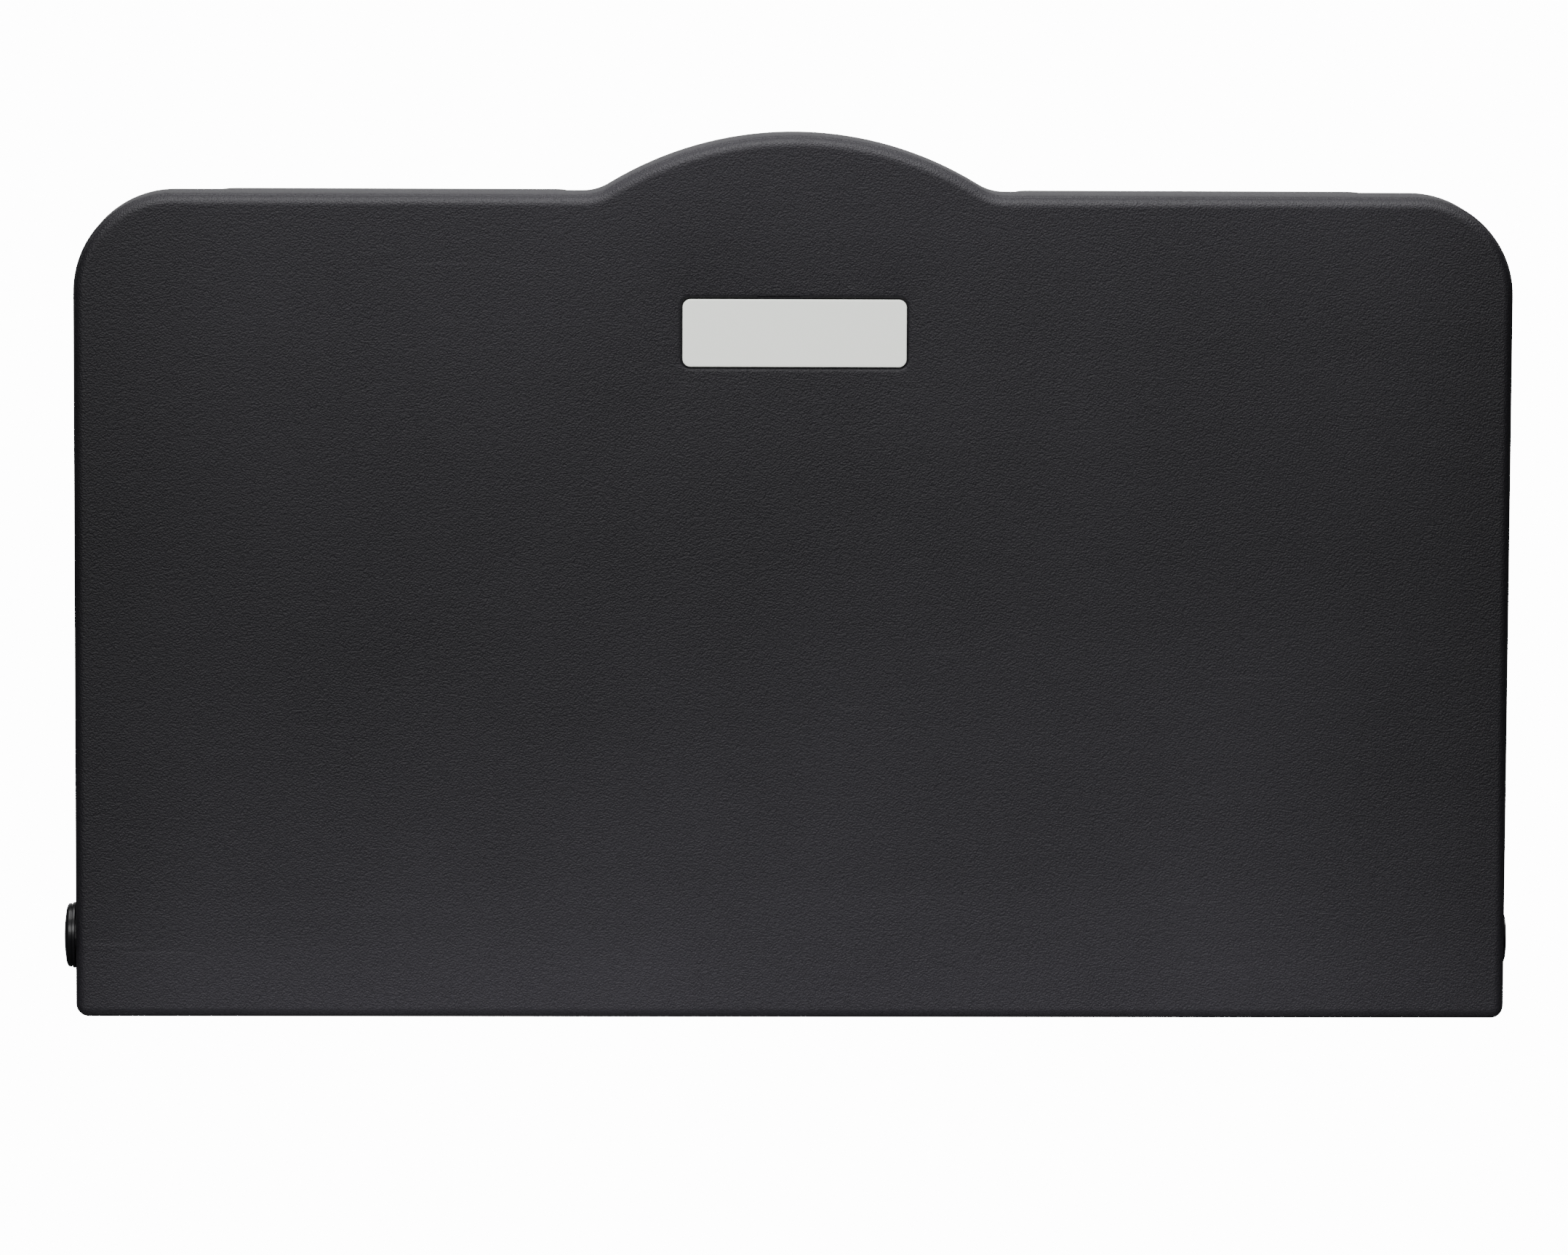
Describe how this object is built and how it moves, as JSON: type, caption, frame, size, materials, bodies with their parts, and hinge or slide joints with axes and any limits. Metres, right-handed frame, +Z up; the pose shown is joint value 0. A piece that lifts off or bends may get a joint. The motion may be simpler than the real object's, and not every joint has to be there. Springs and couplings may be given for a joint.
{
  "type": "baby changing station",
  "caption": "Wall-mounted fold-down baby changing station, shut: a moulded bed door with a rounded grip hump, on a steel hinge, over a shallow wall unit.",
  "frame": {"origin": "middle of the steel back plate's rear face, on the wall plane", "axes": "+X along the hinge to the right as seen from the front, +Y into the wall, +Z up; the front of the shut door faces -Y"},
  "size_m": [0.8793, 0.102, 0.5371],
  "materials": {
    "shell": "charcoal blow-moulded polyethylene with a fine leather grain",
    "gloss_cap": "polished black",
    "nylon": "black moulded nylon",
    "name_plate": "off-white satin, blank",
    "label": "satin film with plain pictograms",
    "painted_steel": "black powder coat",
    "zinc_steel": "zinc plated",
    "spring_steel": "oiled spring steel",
    "chrome": "polished",
    "rubber": "matt black",
    "webbing": "woven nylon webbing",
    "liner_paper": "soft crepe paper"
  },
  "bodies": {
    "wall_unit": {"wall_shell": "shell", "dispenser_box": "shell", "instruction_label": "label", "damper_rotor": "nylon", "hinge_shaft": "zinc_steel", "lid_hinge_pin": "zinc_steel", "torsion_spring_left": "spring_steel", "torsion_spring_right": "spring_steel", "shaft_clip_left": "spring_steel", "shaft_clip_right": "spring_steel", "hinge_bracket_left": "painted_steel", "hinge_bracket_right": "painted_steel", "back_plate": "painted_steel", "stop_angle": "painted_steel", "bag_hook_left": "painted_steel", "bag_hook_right": "painted_steel", "open_stop_pad_left": "rubber", "open_stop_pad_right": "rubber", "liner_stack": "liner_paper", "bracket_bolt_lower_left": "zinc_steel", "shell_screw_lower_left": "zinc_steel", "closing_bumper_lower_left": "rubber", "bracket_bolt_upper_left": "zinc_steel", "shell_screw_upper_left": "zinc_steel", "closing_bumper_upper_left": "rubber", "hook_screw_left": "zinc_steel", "bracket_bolt_lower_right": "zinc_steel", "shell_screw_lower_right": "zinc_steel", "closing_bumper_lower_right": "rubber", "bracket_bolt_upper_right": "zinc_steel", "shell_screw_upper_right": "zinc_steel", "closing_bumper_upper_right": "rubber", "hook_screw_right": "zinc_steel"},
    "door": {"front_shell": "shell", "bed_shell": "shell", "name_plate": "name_plate", "hub_cap": "gloss_cap", "side_cap_right": "gloss_cap", "damper_body": "nylon", "side_bush_right": "nylon", "bearing_block_left": "nylon", "bearing_block_right": "nylon", "strap_anchor_left": "nylon", "strap_anchor_right": "nylon", "buckle_socket": "nylon", "strap_left": "webbing", "strap_right": "webbing", "bearing_screw_lower_left": "zinc_steel", "bearing_screw_upper_left": "zinc_steel", "anchor_screw_left": "zinc_steel", "bearing_screw_lower_right": "zinc_steel", "bearing_screw_upper_right": "zinc_steel", "anchor_screw_right": "zinc_steel"},
    "lid": {"dispenser_lid": "shell", "lock_housing": "chrome"},
    "lock": {"lock_plug": "chrome", "lock_cam": "zinc_steel"},
    "buckle_plug": {"buckle_plug": "nylon"}
  },
  "joints": [
    {"name": "door_hinge", "type": "hinge", "parent": "wall_unit", "child": "door", "pos_m": [0, -0.077, -0.107], "axis": [1, 0, 0], "range_deg": [0, 90], "stiffness_Nm_per_rad": 2.2, "springref_deg": -40.11},
    {"name": "lid_hinge", "type": "hinge", "parent": "wall_unit", "child": "lid", "pos_m": [0, -0.0125, 0.2245], "axis": [-1, 0, 0], "range_deg": [0, 95]},
    {"name": "lock_turn", "type": "hinge", "parent": "lid", "child": "lock", "pos_m": [0, -0.033, 0.22], "axis": [0, 0, 1], "range_deg": [-90, 0]},
    {"name": "buckle_release", "type": "slide", "parent": "door", "child": "buckle_plug", "axis": [1, 0, 0], "range_m": [0, 0.036], "deforming": ["strap_right"]}
  ]
}
